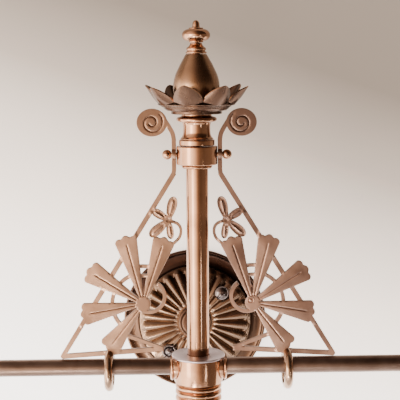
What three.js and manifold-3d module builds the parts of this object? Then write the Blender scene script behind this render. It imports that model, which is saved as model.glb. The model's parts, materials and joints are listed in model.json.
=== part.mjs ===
// Two-arm wall light bracket in copper-toned brass, with pierced side panels and a petal-cup finial.
// Millimetres, +Z up. The origin is the centre of the back of the wall plate, the wall is the plane
// Y = 0, and the bracket stands out from it towards -Y. X runs along the two arms.
import * as THREE from 'three';
import { mergeVertices } from 'three/addons/utils/BufferGeometryUtils.js';
import Module from 'manifold-3d';

const wasm = await Module();
wasm.setup();

// ---- driving dimensions -----------------------------------------------------------------------
const GAP = 0.3;                 // clearance between pieces that touch
const FINE = 24;                 // segments round the large, middle and small turned pieces
const MIDDLE = 16;
const SMALL = 12;
const REACH = 145;               // wall to the axis of the column
const TUBE_R = 8.2;              // column tube
const TUBE_WALL = 1.2;
const ARM_R = 6.35;              // arm tube, half inch outside
const ARM_WALL = 1.1;
const STUB_R = 7.2;              // pipe from the wall to the tee
const STUB_WALL = 1.4;
const ROD_R = 2.4;               // tie rod through the column
const ROD_BORE = ROD_R + GAP;
const RING_BORE = TUBE_R + GAP;  // bore of the rings that sit round the column tube

const PLATE_R = 63.5;            // wall rosette, five inches across
const FLUTES = 28;
const FLUTE_IN = 16;             // the flutes run between these radii
const FLUTE_OUT = 47.2;
const FLUTE_RISE = 1.7;
const BACK_R = 46;
const BACK_T = 3;
const ROSETTE_H = 12.6;          // height of the rosette at its hub
const FIX_R = 35;                // fixing screws: distance from the centre and direction
const FIX_ANGLE = 48;
const FIX_HOLE_R = 2.8;
const FIX_HEAD_R = 6.5;

const TEE_R = 18.2;              // boss that joins column, arms and stub
const TEE_TOP = 7.4;
const TEE_BOTTOM = -11.5;
const SOCKET_R = 7.2;            // socket of the boss for the stub
const LUG_R = 9.8;               // lugs of the boss that the arms enter
const SOCKET_END = 18.4;
const FLANGE_R = 20;
const FLANGE_T = 1.5;
const COLLAR_LENGTH = 2.4;       // collar round each arm at the boss
const PENDANT_COLLAR_H = 19;     // ringed collar under the boss
const DROP_H = 37.5;             // turned drop screwed in below it

const COLLAR_Z0 = 152.7;         // collar band near the top of the column
const COLLAR_Z1 = 166.4;
const COLLAR_R = 15;
const SCREW_Z = 160;             // ball-headed screws through the panel straps
const SCREW_R = 1.6;
const BALL_R = 3.7;
const BALL_X = 22;
const NECK_BASE_H = 4.3;         // heights of the turned pieces stacked on the collar band
const NECK_H = 12.3;
const NECK_RING_H = 5.5;
const CUP_Z = 189.7;             // underside of the petal cup
const CUP_R = 28.5;
const CUP_FOOT_R = 18.7;
const CUP_WALL = 1.1;
const CUP_FOLD_Z = 197;          // where the petals leave the cup
const PETALS = 8;
const PETAL_TIP_R = 39;
const PETAL_TIP_Z = 210.5;
const PETAL_TURN = -14;          // the front petal stands a little to the left
const EGG_H = 41.8;
const FINIAL_COLLAR_H = 7.6;
const ROD_TOP = 247;

const PANEL_T = 2.6;             // thickness of the pierced panels
const STRAP_X = 16.9;
const STRAP_W = 3.3;
const BAR_W = 3.6;
const CORNER = [102, 8.7];       // outer corner of a panel
const INNER_TIP = [26.2, 13.7];
const VOLUTE = [32.8, 183.6];    // centre and half sizes of the disc that the strap ends in
const VOLUTE_HALF = [11.2, 10.2];
const HUB = [40.9, 48.4];        // centre of the palmette
const HUB_R = 5.7;
const PALMETTE = [               // direction from +Z towards the outside, length, half width
  { turn: -18.6, length: 53, half: 8.3 },
  { turn: 14.4, length: 53.2, half: 8.4 },
  { turn: 57.6, length: 49.2, half: 8.6 },
  { turn: 99.6, length: 47.6, half: 8.4 },
  { turn: 142.2, length: 44.6, half: 8.4 },
];
const PALMETTE_BANDS = [         // arcs that tie the petals: radius about the hub, from, to, width
  [23.2, 14, 142, 2.9],
  [21.5, -18, 15, 2.4],
  [28.6, -18, 15, 2.7],
];
const CRESCENT = [36.7, 53.8];   // open ring beside the hub
const CRESCENT_R = 11.8;
const CRESCENT_W = 2.7;
const SPRIG = [21.4, 111.5];     // where the four leaves meet
const SPRIG_R = 2.9;
const LEAVES = [                 // tip and width of each leaf
  { tip: [17.1, 128.8], width: 7.2 },
  { tip: [33.2, 118.9], width: 6 },
  { tip: [35.4, 99.5], width: 7.2 },
  { tip: [19.6, 97.4], width: 5.2 },
];
const STEM = [[20.6, 111], [14.6, 108.6], [12.3, 104.2], [13.6, 98.2], [19.2, 92.6]];
const STEM_W = 2.1;
const EYE_R = 4.2;               // lug of the strap that its ball-headed screw goes through
const EYE_X = [15.3, 18.6];
const RING_X = 67.2;             // clips that hold each panel to its arm
const RING_MAJOR = 12.4;
const RING_MINOR = 3.3;
const RING_DROP = 2.7;           // the clips hang a little below the arm's axis

const ARM_END = 168;             // far end of the arm tube
const TAP_LENGTH = 22;
const TAP_HALF = 12;             // half length of the boss that the key turns in
const PLUG_R = 3.8;
const BEND_R = 16;
const GALLERY_R = 30;
const GALLERY_H = 14.6;
const BURNER_SEAT = 8.2;         // height of the gallery's floor above its foot

// ---- materials --------------------------------------------------------------------------------
const finish = (color, roughness) =>
  new THREE.MeshStandardMaterial({ color, roughness, metalness: 1 });
const polished = () => finish(0xc98e6a, 0.22);
const satin = () => finish(0xa9826c, 0.42);
const dark = () => finish(0x6b4636, 0.4);
const iron = () => finish(0x3b3434, 0.5);

// ---- geometry helpers -------------------------------------------------------------------------
const rad = THREE.MathUtils.degToRad;
const point = (x, y) => new THREE.Vector2(x, y);

// Position-only indexed copy with shared vertices merged and collapsed triangles left out.
function welded(geometry) {
  const bare = new THREE.BufferGeometry();
  bare.setAttribute('position', geometry.getAttribute('position').clone());
  if (geometry.index) bare.setIndex(geometry.index.clone());
  const merged = mergeVertices(bare, 1e-3);
  const kept = [];
  const index = merged.index.array;
  for (let i = 0; i < index.length; i += 3) {
    const [a, b, c] = [index[i], index[i + 1], index[i + 2]];
    if (a !== b && b !== c && a !== c) kept.push(a, b, c);
  }
  merged.setIndex(kept);
  return merged;
}

function signedVolume(geometry) {
  const position = geometry.getAttribute('position');
  const index = geometry.index.array;
  const [a, b, c] = [new THREE.Vector3(), new THREE.Vector3(), new THREE.Vector3()];
  let sum = 0;
  for (let i = 0; i < index.length; i += 3) {
    a.fromBufferAttribute(position, index[i]);
    b.fromBufferAttribute(position, index[i + 1]);
    c.fromBufferAttribute(position, index[i + 2]);
    sum += a.dot(b.cross(c)) / 6;
  }
  return sum;
}

// Welded geometry with its faces pointing out.
function closed(geometry) {
  const shell = welded(geometry);
  if (signedVolume(shell) < 0) {
    const index = shell.index.array;
    for (let i = 0; i < index.length; i += 3) [index[i], index[i + 1]] = [index[i + 1], index[i]];
  }
  return shell;
}

function toSolid(geometry) {
  const shell = closed(geometry);
  return new wasm.Manifold(new wasm.Mesh({
    numProp: 3,
    vertProperties: new Float32Array(shell.getAttribute('position').array),
    triVerts: new Uint32Array(shell.index.array),
  }));
}

function toGeometry(solid) {
  const mesh = solid.getMesh();
  const geometry = new THREE.BufferGeometry();
  geometry.setAttribute('position', new THREE.BufferAttribute(mesh.vertProperties, 3));
  geometry.setIndex(new THREE.BufferAttribute(mesh.triVerts, 1));
  return closed(geometry);
}

const united = (parts) => parts.map(toSolid).reduce((sum, part) => sum.add(part));
const less = (solid, cuts) => cuts.map(toSolid).reduce((rest, cut) => rest.subtract(cut), solid);

// Turned piece about +Z. The profile is [radius, z] pairs; with a bore it closes along the bore.
function turned(profile, bore = 0, segments = MIDDLE) {
  const points = profile.map(([r, z]) => point(r, z));
  const [first, last] = [points[0], points[points.length - 1]];
  const loop = [point(bore, first.y), ...points, point(bore, last.y)];
  if (bore > 0) loop.push(point(bore, first.y));
  return new THREE.LatheGeometry(loop, segments).rotateX(Math.PI / 2);
}

const alongX = (geometry) => geometry.rotateY(Math.PI / 2);
const alongWall = (geometry) => geometry.rotateX(Math.PI / 2);   // +Z turned to -Y

// Points on an elliptical quarter or other stretch of a rounded profile.
function rounded(r, z, a, b, from, to, steps) {
  const out = [];
  for (let i = 0; i <= steps; i++) {
    const t = rad(from + ((to - from) * i) / steps);
    out.push([r + a * Math.cos(t), z + b * Math.sin(t)]);
  }
  return out;
}

// Plate cut from an outline in X and Z, centred on Y = 0.
function plate(outline, thickness = PANEL_T) {
  const shape = new THREE.Shape(outline.map(([x, z]) => point(x, z)));
  const slab = new THREE.ExtrudeGeometry(shape, { depth: thickness, bevelEnabled: false });
  return slab.translate(0, 0, -thickness / 2).rotateX(Math.PI / 2);
}

// Outline of a band of constant width along a list of centre points.
function ribbon(path, width) {
  const side = (sign) => path.map(([x, z], i) => {
    const [px, pz] = path[Math.max(i - 1, 0)];
    const [nx, nz] = path[Math.min(i + 1, path.length - 1)];
    const length = Math.hypot(nx - px, nz - pz);
    return [x - (sign * width * (nz - pz)) / (2 * length), z + (sign * width * (nx - px)) / (2 * length)];
  });
  return [...side(1), ...side(-1).reverse()];
}

function arcPath([x, z], radius, from, to, steps) {
  return Array.from({ length: steps + 1 }, (_, i) => {
    const t = rad(from + ((to - from) * i) / steps);
    return [x + radius * Math.sin(t), z + radius * Math.cos(t)];
  });
}

function smoothPath(points, steps) {
  const curve = new THREE.SplineCurve(points.map(([x, z]) => point(x, z)));
  return curve.getPoints(steps).map((p) => [p.x, p.y]);
}

function mirrored(geometry) {
  return closed(geometry.clone().scale(-1, 1, 1));
}

// ---- wall plate -------------------------------------------------------------------------------
const fixings = [FIX_ANGLE, FIX_ANGLE + 180].map((angle) => [
  FIX_R * Math.cos(rad(angle)), FIX_R * Math.sin(rad(angle)),
]);

function backDisc() {
  const disc = toSolid(alongWall(turned([[BACK_R, 0], [BACK_R, BACK_T]], 0, FINE)));
  const holes = fixings.map(([x, z]) =>
    alongWall(turned([[FIX_HOLE_R, -1], [FIX_HOLE_R, BACK_T + 1]], 0, SMALL)).translate(x, 0, z));
  return toGeometry(less(disc, holes));
}

// Height of one convex flute above the rosette's plain surface.
function fluteRise(radius, angle) {
  if (radius < FLUTE_IN || radius > FLUTE_OUT + 0.5) return 0;
  return FLUTE_RISE * Math.sqrt(radius / FLUTE_OUT) * Math.abs(Math.sin((FLUTES * angle) / 2));
}

function rosette() {
  const front = [
    [PLATE_R, 0], [PLATE_R, 3.2], [61.8, 5], [54, 3.6], [49.6, 5.2],
    [FLUTE_OUT + 0.4, 8.6], [FLUTE_OUT - 3, 10.4], [34, 11.8],
    [FLUTE_IN + 0.5, ROSETTE_H], [FLUTE_IN - 0.6, ROSETTE_H], [STUB_R + GAP, ROSETTE_H],
  ];
  const back = [
    [STUB_R + GAP, ROSETTE_H - 1.6], [36, 10], [FLUTE_OUT - 3, 8.6],
    [49, 3.6], [54, 1.8], [PLATE_R - 2, 1.6], [PLATE_R - 2, 0],
  ];
  const profile = [...front, ...back, front[0]].map(([r, h]) => point(r, -h));
  const geometry = new THREE.LatheGeometry(profile, FLUTES * 2);
  const position = geometry.getAttribute('position');
  for (let i = 0; i < position.count; i++) {
    if (i % profile.length >= front.length) continue;
    const [x, y, z] = [position.getX(i), position.getY(i), position.getZ(i)];
    position.setY(i, y - fluteRise(Math.hypot(x, z), Math.atan2(z, x)));
  }
  const holes = fixings.map(([x, z]) =>
    alongWall(turned([[FIX_HOLE_R, 4], [FIX_HOLE_R, 20]], 0, SMALL)).translate(x, 0, z));
  return toGeometry(less(toSolid(geometry), holes));
}

function hubRing() {
  const z = ROSETTE_H + GAP;
  const outline = [[14.6, z], ...rounded(13.2, z + 1.6, 1.6, 1.6, -20, 90, 2), [11.8, z + 3.4],
    ...rounded(10.6, z + 4.6, 1.5, 1.5, -20, 90, 2)];
  return closed(alongWall(turned(outline, STUB_R + GAP)));
}

// Dome-headed fixing screw whose head rests on the flutes.
function wallScrew() {
  const seat = ROSETTE_H + 1.8;
  const shank = FIX_HOLE_R - 2 * GAP;
  const outline = [[shank, 0.5], [shank, seat], [FIX_HEAD_R - 0.2, seat], [FIX_HEAD_R, seat + 0.8],
    ...rounded(0, seat + 0.8, FIX_HEAD_R, 4.6, 25, 90, 3)];
  return closed(alongWall(turned(outline, 0, SMALL)));
}

function stubTube() {
  const end = REACH - SOCKET_END - GAP;
  const start = BACK_T + GAP;
  return closed(alongWall(turned([[STUB_R, start], [STUB_R, end]], STUB_R - STUB_WALL)));
}

// ---- tee and column ---------------------------------------------------------------------------
function teeBody() {
  const boss = turned([[TEE_R - 0.6, TEE_BOTTOM], [TEE_R, TEE_BOTTOM + 0.6], [TEE_R, TEE_TOP]], 0, FINE);
  const lugs = alongX(turned([[LUG_R, -SOCKET_END], [LUG_R, SOCKET_END]]));
  const rear = alongWall(turned([[SOCKET_R, 0], [SOCKET_R, SOCKET_END]])).rotateZ(Math.PI);
  return underFlange(united([boss, lugs, rear]));
}

// Cuts away what stands above the seat of the flange.
function underFlange(solid) {
  return toGeometry(less(solid, [new THREE.BoxGeometry(60, 60, 10).translate(0, 0, TEE_TOP + 5)]));
}

function topFlange() {
  const z = TEE_TOP + GAP;
  return closed(turned([[FLANGE_R - 0.4, z], [FLANGE_R, z + 0.5], [FLANGE_R - 0.4, z + FLANGE_T]],
    RING_BORE, FINE));
}

// Rounded collar where an arm enters the boss, trimmed flat under the flange.
function sideCollar() {
  const start = SOCKET_END + GAP;
  const middle = start + COLLAR_LENGTH / 2;
  const outline = [[10, start], ...rounded(7.8, middle, 2.7, COLLAR_LENGTH / 2, -50, 70, 3),
    [7.2, start + COLLAR_LENGTH]];
  return underFlange(toSolid(alongX(turned(outline, ARM_R + GAP))));
}

function pendantCollar() {
  const top = TEE_BOTTOM - GAP;
  const outline = [[8.8, top - PENDANT_COLLAR_H], [10.2, top - 18], [13.6, top - 15.4],
    ...rounded(15.5, top - 12.6, 1.9, 1.9, -50, 50, 2),
    [15.7, top - 9.9], ...rounded(15.7, top - 7.6, 1.9, 1.9, -45, 45, 2),
    [15.7, top - 5.3], ...rounded(15.7, top - 3, 1.9, 1.9, -45, 45, 2), [16.1, top]];
  return closed(turned(outline, ROD_BORE));
}

function pendantDrop() {
  const top = TEE_BOTTOM - GAP - PENDANT_COLLAR_H - GAP;
  const outline = [[0.1, top - DROP_H], ...rounded(0, top - 33.4, 4.2, 4.2, -50, 40, 3),
    [2.6, top - 29.6], [4.4, top - 28.4], [10.9, top - 17], [12.4, top - 12],
    [11.4, top - 8], [5.6, top - 4.4], [5.4, top - 2.4], [8.2, top - 1.4], [8.2, top],
    [2.3, top], [2.3, top + 10]];
  return closed(turned(outline));
}

function columnTube() {
  return closed(turned([[TUBE_R, TEE_TOP + GAP], [TUBE_R, COLLAR_Z1]], TUBE_R - TUBE_WALL));
}

function tieRod() {
  return closed(turned([[ROD_R, TEE_TOP + GAP], [ROD_R, ROD_TOP]], 0, SMALL));
}

function lowerLip() {
  const top = COLLAR_Z0 - GAP;
  const r = 11.35;
  return closed(turned([[r - 0.45, top - 2.4], [r, top - 1.9], [r, top - 0.4], [r - 0.45, top]], RING_BORE));
}

function collarBand() {
  const band = toSolid(turned([[COLLAR_R - 0.5, COLLAR_Z0], [COLLAR_R, COLLAR_Z0 + 0.5],
    [COLLAR_R, COLLAR_Z1 - 0.5], [COLLAR_R - 0.5, COLLAR_Z1]], RING_BORE, FINE));
  const holes = [1, -1].map((side) =>
    alongX(turned([[SCREW_R + GAP, 11.5], [SCREW_R + GAP, 20]], 0, SMALL))
      .scale(side, 1, 1).translate(0, 0, SCREW_Z));
  return toGeometry(less(band, holes));
}

const NECK_BASE_Z = COLLAR_Z1 + GAP;
const NECK_Z = NECK_BASE_Z + NECK_BASE_H + GAP;
const NECK_RING_Z = NECK_Z + NECK_H + GAP;

function neckBase() {
  const z = NECK_BASE_Z;
  return closed(turned([[12.8, z], [13.2, z + 0.5], [13.2, z + 3.8], [12.7, z + NECK_BASE_H]], ROD_BORE));
}

function neck() {
  const z = NECK_Z;
  return closed(turned([[12.2, z], [11.5, z + 1.2], [10.6, z + 2.4], [10.1, z + 4.4], [10, z + 9.4],
    [10.8, z + NECK_H]], ROD_BORE));
}

function neckRing() {
  const z = NECK_RING_Z;
  return closed(turned([[13, z], ...rounded(12.9, z + 1.9, 2.1, 1.8, -60, 60, 3),
    [11, z + 4.4], [11, z + NECK_RING_H]], ROD_BORE));
}

// ---- petal cup --------------------------------------------------------------------------------
// One petal as a thin curved leaf standing on the rim of the cup, pointing along +X.
function petal(thickness = CUP_WALL, rows = 4, columns = 4) {
  const half = (s) => 10.2 * Math.pow(1 - Math.pow(s, 2.3), 0.7) + 0.8 * Math.sin(Math.PI * s);
  const surface = (s, t, lift) => {
    const across = t * Math.max(half(s), 0.25);
    const out = CUP_R - 1 + (PETAL_TIP_R - CUP_R + 1) * (s + 0.12 * Math.sin(Math.PI * s));
    const cupped = 2.6 * t * t * Math.sin(Math.PI * Math.min(s + 0.15, 1));
    const wrap = out - (across * across) / (2 * CUP_R);
    const z = CUP_FOLD_Z - 0.8 + (PETAL_TIP_Z - CUP_FOLD_Z + 0.8) * s;
    return [wrap - cupped * 0.75 - lift * 0.76, across, z + cupped * 0.5 + lift * 0.65];
  };
  const vertices = [];
  for (const lift of [0, thickness]) {
    for (let i = 0; i <= rows; i++) {
      for (let j = 0; j <= columns; j++) {
        vertices.push(...surface(i / rows, (2 * j) / columns - 1, lift));
      }
    }
  }
  const layer = (rows + 1) * (columns + 1);
  const at = (side, i, j) => side * layer + i * (columns + 1) + j;
  const faces = [];
  const quad = (a, b, c, d) => faces.push(a, b, c, a, c, d);
  for (let i = 0; i < rows; i++) {
    for (let j = 0; j < columns; j++) {
      quad(at(0, i, j), at(0, i, j + 1), at(0, i + 1, j + 1), at(0, i + 1, j));
      quad(at(1, i, j), at(1, i + 1, j), at(1, i + 1, j + 1), at(1, i, j + 1));
    }
    quad(at(0, i, 0), at(0, i + 1, 0), at(1, i + 1, 0), at(1, i, 0));
    quad(at(0, i, columns), at(1, i, columns), at(1, i + 1, columns), at(0, i + 1, columns));
  }
  for (let j = 0; j < columns; j++) {
    quad(at(0, 0, j), at(1, 0, j), at(1, 0, j + 1), at(0, 0, j + 1));
    quad(at(0, rows, j), at(0, rows, j + 1), at(1, rows, j + 1), at(1, rows, j));
  }
  const geometry = new THREE.BufferGeometry();
  geometry.setAttribute('position', new THREE.Float32BufferAttribute(vertices, 3));
  geometry.setIndex(faces);
  return geometry;
}

function petalCup() {
  const outer = [[ROD_BORE, CUP_Z], [CUP_FOOT_R, CUP_Z], [CUP_FOOT_R, CUP_Z + 2.3], [22.4, CUP_Z + 3],
    [25.8, CUP_Z + 5.6], [CUP_R, CUP_FOLD_Z]];
  const inner = [[CUP_R - CUP_WALL, CUP_FOLD_Z], [25, CUP_Z + 6.6], [21.8, CUP_Z + 4.4],
    [CUP_FOOT_R - CUP_WALL, CUP_Z + 3.4], [CUP_FOOT_R - CUP_WALL, CUP_Z + CUP_WALL],
    [ROD_BORE, CUP_Z + CUP_WALL]];
  const loop = [...outer, ...inner, outer[0]].map(([r, z]) => point(r, z));
  const bowl = new THREE.LatheGeometry(loop, FINE).rotateX(Math.PI / 2);
  const petals = Array.from({ length: PETALS }, (_, i) =>
    petal().rotateZ(rad(PETAL_TURN - 90 + (360 * i) / PETALS)));
  return toGeometry(united([bowl, ...petals]));
}

// ---- finial -----------------------------------------------------------------------------------
const EGG_Z = CUP_Z + CUP_WALL + GAP;
const FINIAL_COLLAR_Z = EGG_Z + EGG_H + GAP;
const KNOB_Z = FINIAL_COLLAR_Z + FINIAL_COLLAR_H + GAP;

function eggBody() {
  const z = EGG_Z;
  return closed(turned([[10.6, z], [15.4, z + 8.6], [16.9, z + 14.6], [17, z + 20.4], [15.8, z + 25.6],
    [13.4, z + 31.2], [10.6, z + 36.8], [7.6, z + EGG_H]], ROD_BORE, FINE));
}

function finialCollar() {
  const z = FINIAL_COLLAR_Z;
  return closed(turned([[7.4, z], [7.7, z + 0.9], [7, z + 1.6], [7.2, z + 3.2], [4.8, z + 6.2],
    [4.4, z + FINIAL_COLLAR_H]], ROD_BORE));
}

function finialKnob() {
  const z = KNOB_Z;
  const knob = turned([[4.7, z], [5.4, z + 0.8], ...rounded(5.2, z + 5.4, 5.1, 4.7, -58, 60, 5),
    [5.3, z + 10.1], [4.9, z + 10.6], [2.7, z + 10.9], [2.5, z + 13.4], [0.9, z + 16.1]]);
  const bore = turned([[ROD_BORE, z - 1], [ROD_BORE, ROD_TOP + 0.5]], 0, SMALL);
  return toGeometry(less(toSolid(knob), [bore]));
}

// ---- side panels ------------------------------------------------------------------------------
// Keystone petal of the palmette with a three-lobed tip.
function keystone({ turn, length, half }) {
  const lobe = half * 0.37;
  const edge = [[3, -1.3]];
  const addLobe = (along, across, from, to) => {
    for (let i = 0; i <= 3; i++) {
      const t = rad(from + ((to - from) * i) / 3);
      edge.push([along + lobe * Math.cos(t), across + lobe * Math.sin(t)]);
    }
  };
  addLobe(length - lobe - 1.6, -half + lobe, -80, 30);
  addLobe(length - lobe, 0, -55, 55);
  addLobe(length - lobe - 1.6, half - lobe, -30, 80);
  edge.push([3, 1.3]);
  const [sin, cos] = [Math.sin(rad(turn)), Math.cos(rad(turn))];
  return edge.map(([u, v]) => [HUB[0] + u * sin + v * cos, HUB[1] + u * cos - v * sin]);
}

// Leaf from the middle of the sprig to its tip, with a round end.
function leaf({ tip, width }) {
  const steps = 7;
  const length = Math.hypot(tip[0] - SPRIG[0], tip[1] - SPRIG[1]);
  const [ux, uz] = [(tip[0] - SPRIG[0]) / length, (tip[1] - SPRIG[1]) / length];
  const side = (sign) => Array.from({ length: steps + 1 }, (_, i) => {
    const t = 1 - Math.pow(1 - i / steps, 1.6);
    const half = sign * (0.4 * (1 - t) + 0.75 * width * Math.pow(t, 0.6) * Math.sqrt(1 - Math.pow(t, 3.2)));
    return [SPRIG[0] + ux * length * t - uz * half, SPRIG[1] + uz * length * t + ux * half];
  });
  return [...side(1), ...side(-1).reverse().slice(1)];
}

// The pierced panel on the +X side: strap, volute, triangle of bars, palmette and leaf sprig.
function panel() {
  const strap = [...smoothPath([[25.6, 188.3], [23, 184.6], [20.2, 180.2], [17.8, 175.6],
    [STRAP_X, 171]], 7), [STRAP_X, 149], [17.3, 146.2], [18.6, 143.6]];
  const disc = (centre, radius, sides) =>
    rounded(...centre, radius, radius, 0, 360 - 360 / sides, sides - 1);
  const outlines = [
    ribbon(strap, STRAP_W),
    rounded(...VOLUTE, ...VOLUTE_HALF, 0, 340, 17),
    ribbon([[STRAP_X, 146.4], CORNER], BAR_W),
    ribbon([CORNER, INNER_TIP], BAR_W),
    disc([CORNER[0] - 0.4, CORNER[1] + 0.2], BAR_W / 2 + 0.1, 8),
    ribbon([INNER_TIP, [56, 25.2]], 2.8),
    disc(HUB, HUB_R, 12),
    ...PALMETTE.map(keystone),
    ...PALMETTE_BANDS.map(([radius, from, to, width]) =>
      ribbon(arcPath(HUB, radius, from, to, Math.ceil((to - from) / 11)), width)),
    ribbon(arcPath(CRESCENT, CRESCENT_R, 142, 326, 12), CRESCENT_W),
    disc(SPRIG, SPRIG_R, 8),
    ...LEAVES.map(leaf),
    ribbon(smoothPath(STEM, 8), STEM_W),
  ];
  const eye = alongX(turned(EYE_X.map((x) => [EYE_R, x]), 0, SMALL)).translate(0, 0, SCREW_Z);
  const hole = alongX(turned([[SCREW_R + GAP, EYE_X[0] - 1], [SCREW_R + GAP, EYE_X[1] + 1]], 0, SMALL))
    .translate(0, 0, SCREW_Z);
  return toGeometry(less(united([...outlines.map((one) => plate(one)), eye]), [hole]));
}

// Clip round the arm, open at the top where it grips the panel's lower bar.
function panelRing() {
  const ring = new THREE.TorusGeometry(RING_MAJOR, RING_MINOR, 8, MIDDLE).rotateY(Math.PI / 2)
    .translate(0, 0, -RING_DROP);
  const slot = new THREE.BoxGeometry(20, PANEL_T + 2 * GAP, 12).translate(0, 0, ARM_R + 6.2);
  return toGeometry(less(toSolid(ring), [slot])).translate(RING_X, 0, 0);
}

function ballScrew() {
  const start = EYE_X[1] + GAP;
  const outline = [[SCREW_R, 12.2], [SCREW_R, start], [2.3, start], [2.3, start + 0.5],
    ...rounded(0, BALL_X, BALL_R, BALL_R, -50, 80, 5)];
  return closed(alongX(turned(outline, 0, SMALL)).translate(0, 0, SCREW_Z));
}

// ---- arms and burners -------------------------------------------------------------------------
function arm() {
  return closed(alongX(turned([[ARM_R, SOCKET_END + GAP], [ARM_R, ARM_END]], ARM_R - ARM_WALL)));
}

const TAP_X = ARM_END + GAP;
const KEY_X = TAP_X + TAP_LENGTH / 2;

function tapBody() {
  const barrel = alongX(turned([[8.4, TAP_X], [8.4, TAP_X + 3], [6.8, TAP_X + 3.8],
    [9.4, KEY_X], [6.8, TAP_X + TAP_LENGTH - 3.8], [8.4, TAP_X + TAP_LENGTH - 3],
    [8.4, TAP_X + TAP_LENGTH]]));
  const boss = alongWall(turned([[6.6, -TAP_HALF], [6.6, TAP_HALF]])).translate(KEY_X, 0, 0);
  const bore = alongWall(turned([[PLUG_R + GAP, -TAP_HALF - 2], [PLUG_R + GAP, TAP_HALF + 2]], 0, SMALL))
    .translate(KEY_X, 0, 0);
  return toGeometry(less(united([barrel, boss]), [bore]));
}

// Plug with a flat thumb piece in front; the thumb piece lies along the arm when the gas is on.
function tapKey() {
  const seat = TAP_HALF + GAP;
  const plug = alongWall(turned([[PLUG_R, -seat - 0.3], [PLUG_R, seat], [5.2, seat], [5.2, seat + 1.3],
    [3.2, seat + 2.3], [2.6, seat + 6.3]], 0, SMALL));
  const washer = alongWall(turned([[5.6, -seat - 1.7], [5.6, -seat]], 0, SMALL));
  const thumb = new THREE.ExtrudeGeometry(new THREE.Shape(
    rounded(0, seat + 9.3, 10.5, 4.2, 0, 337.5, 15).map(([x, y]) => point(x, y))),
  { depth: 2.6, bevelEnabled: false }).translate(0, 0, -1.3).rotateZ(Math.PI);
  return toGeometry(united([plug, washer, thumb])).translate(KEY_X, 0, 0);
}

function elbow() {
  const start = TAP_X + TAP_LENGTH + GAP;
  const path = new THREE.CurvePath();
  path.add(new THREE.LineCurve3(new THREE.Vector3(start, 0, 0), new THREE.Vector3(start + 2, 0, 0)));
  path.add(new THREE.QuadraticBezierCurve3(new THREE.Vector3(start + 2, 0, 0),
    new THREE.Vector3(start + BEND_R, 0, 0), new THREE.Vector3(start + BEND_R, 0, BEND_R - 2)));
  path.add(new THREE.LineCurve3(new THREE.Vector3(start + BEND_R, 0, BEND_R - 2),
    new THREE.Vector3(start + BEND_R, 0, BEND_R)));
  const section = new THREE.Shape(rounded(0, 0, ARM_R, ARM_R, 0, 342, 19).map(([x, y]) => point(x, y)));
  return closed(new THREE.ExtrudeGeometry(section, { steps: 8, extrudePath: path }));
}

const BURNER_X = TAP_X + TAP_LENGTH + GAP + BEND_R;

// Shallow dish that carries a glass shade.
function gallery() {
  const z = BEND_R + GAP;
  const outline = [[9.2, z], [9.2, z + 3], [7.6, z + 4.4], [12, z + 6], [22, z + 7.2],
    [GALLERY_R - 1.4, z + 9.4], [GALLERY_R, z + GALLERY_H], [GALLERY_R - 1.2, z + GALLERY_H],
    [GALLERY_R - 2.8, z + 10.6],
    [24.4, z + BURNER_SEAT], [11.4, z + BURNER_SEAT]];
  return closed(turned(outline).translate(BURNER_X, 0, 0));
}

function burner() {
  const z = BEND_R + GAP + BURNER_SEAT + GAP;
  return closed(turned([[7.2, z], [7.2, z + 3.4], [5, z + 4.6], [5, z + 9], [6, z + 10],
    [6, z + 12], [4, z + 13], [3.8, z + 24], [2.8, z + 26]]).translate(BURNER_X, 0, 0));
}

// ---- assembly ---------------------------------------------------------------------------------
function piece(parent, name, geometry, material) {
  const mesh = new THREE.Mesh(geometry, material);
  mesh.name = name;
  parent.add(mesh);
  return mesh;
}

const bracket = new THREE.Group();
const wall = new THREE.Group();
const column = new THREE.Group();
column.position.set(0, -REACH, 0);
bracket.add(wall, column);

piece(wall, 'back_disc', backDisc(), dark());
piece(wall, 'wall_rosette', rosette(), dark());
piece(wall, 'rosette_hub', hubRing(), polished());
piece(wall, 'stub_tube', stubTube(), satin());
['right', 'left'].forEach((side, i) => {
  const screw = piece(wall, `wall_screw_${side}`, wallScrew(), iron());
  screw.position.set(fixings[i][0], 0, fixings[i][1]);
});

piece(column, 'tee_body', teeBody(), polished());
piece(column, 'top_flange', topFlange(), polished());
piece(column, 'pendant_collar', pendantCollar(), polished());
piece(column, 'pendant_drop', pendantDrop(), polished());
piece(column, 'column_tube', columnTube(), polished());
piece(column, 'tie_rod', tieRod(), iron());
piece(column, 'lower_lip', lowerLip(), polished());
piece(column, 'collar_band', collarBand(), polished());
piece(column, 'neck_base', neckBase(), polished());
piece(column, 'neck', neck(), polished());
piece(column, 'neck_ring', neckRing(), polished());
piece(column, 'petal_cup', petalCup(), satin());
piece(column, 'egg_body', eggBody(), satin());
piece(column, 'finial_collar', finialCollar(), polished());
piece(column, 'finial_knob', finialKnob(), polished());

const sidePieces = [
  ['panel', panel, satin], ['panel_ring', panelRing, polished], ['ball_screw', ballScrew, polished],
  ['side_collar', sideCollar, polished], ['arm', arm, satin], ['tap_body', tapBody, polished],
  ['tap_key', tapKey, polished], ['elbow', elbow, satin], ['gallery', gallery, polished],
  ['burner', burner, iron],
];
for (const [name, make, material] of sidePieces) {
  const geometry = make();
  piece(column, `${name}_right`, closed(geometry), material());
  piece(column, `${name}_left`, mirrored(geometry), material());
}

export default bracket;
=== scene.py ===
"""Looks of a two-arm wall light bracket in copper-toned brass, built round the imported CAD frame.

Every place comes from the frame. Shapes are worked out in millimetres and stored in metres. The
wall is the plane Y = 0, the bracket stands out towards -Y, Z is up and X runs along the arms.
"""

import json
import math

import bmesh
import bpy
import numpy as np
from mathutils import Matrix, Vector
from mathutils.geometry import delaunay_2d_cdt


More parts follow.
